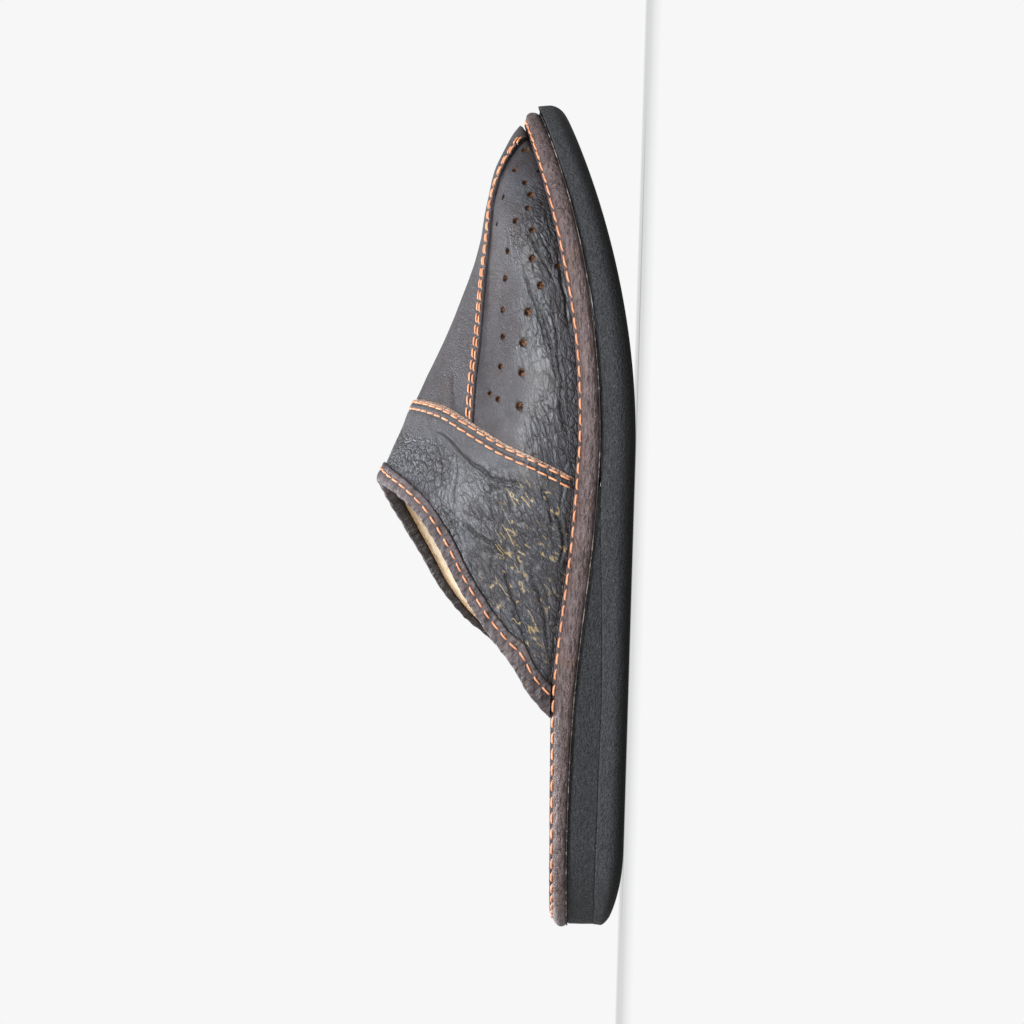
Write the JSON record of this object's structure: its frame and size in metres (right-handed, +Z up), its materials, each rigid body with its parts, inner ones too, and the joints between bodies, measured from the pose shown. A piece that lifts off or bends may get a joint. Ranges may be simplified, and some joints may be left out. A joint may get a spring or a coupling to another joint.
{
  "type": "mule slipper",
  "caption": "Leather mule slipper for the right foot, closed at the toe and open at the heel, with a stitched rand and a wedge sole.",
  "frame": {"origin": "middle of the shoe's footprint box, on the floor", "axes": "+X from heel to toe, +Y to the inner (medial) side of this right shoe, +Z up"},
  "size_m": [0.2908, 0.1142, 0.0917],
  "materials": {
    "black_foam": "closed-cell foam with a fine diamond tread, matt",
    "wedge_foam": "closed-cell foam, sanded, matt",
    "rand_leather": "smooth mauve-brown leather, wrapped and stitched",
    "insole_lining": "tan lining leather, matt",
    "upper_leather": "pebbled dark brown leather, waxed",
    "panel_leather": "pebbled dark brown leather, waxed",
    "band_leather": "pebbled dark brown leather with worn tan creases",
    "binding_leather": "thin dark brown leather, folded"
  },
  "bodies": {
    "root": {"outsole": "black_foam", "heel_wedge": "wedge_foam", "wrapped_platform": "rand_leather", "insole": "insole_lining", "upper": "upper_leather", "centre_panel": "panel_leather", "instep_band": "band_leather", "collar_binding": "binding_leather"}
  },
  "joints": []
}
